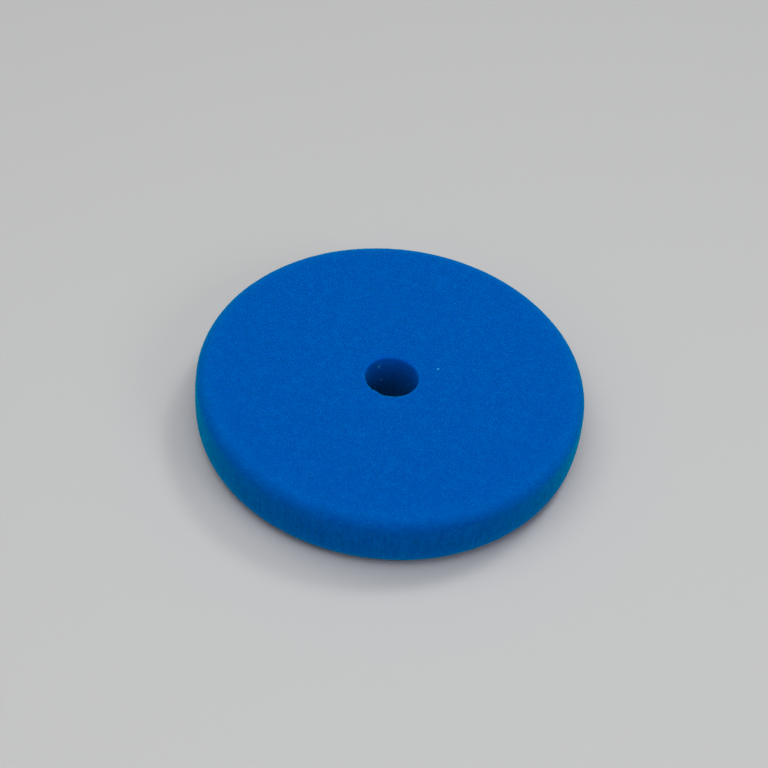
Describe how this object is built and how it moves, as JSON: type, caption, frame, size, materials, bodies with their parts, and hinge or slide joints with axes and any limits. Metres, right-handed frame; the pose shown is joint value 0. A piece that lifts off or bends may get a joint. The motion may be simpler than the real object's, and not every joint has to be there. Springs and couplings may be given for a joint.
{
  "type": "polishing pad",
  "caption": "Round foam polishing pad with a flat working face, rounded side, centre hole and a loop backing for a hook-faced backing plate.",
  "frame": {"origin": "centre of the underside, on the plane that the tips of the backing's loops reach", "axes": "+Z along the axis of the centre hole, from the loop backing towards the working face; the pad is round, so +X and +Y are any two square directions across it"},
  "size_m": [0.15, 0.15, 0.025],
  "materials": {
    "foam": "matte open-cell polyurethane foam, blue right through",
    "hot_melt_film": "cloudy hot-melt adhesive",
    "knitted_ground": "warp-knitted nylon ground",
    "loop_yarn": "raised nylon loops with a slight sheen"
  },
  "bodies": {
    "root": {"foam_disc": "foam", "adhesive_film": "hot_melt_film", "loop_fabric_ground": "knitted_ground", "loop_pile": "loop_yarn"}
  },
  "joints": []
}
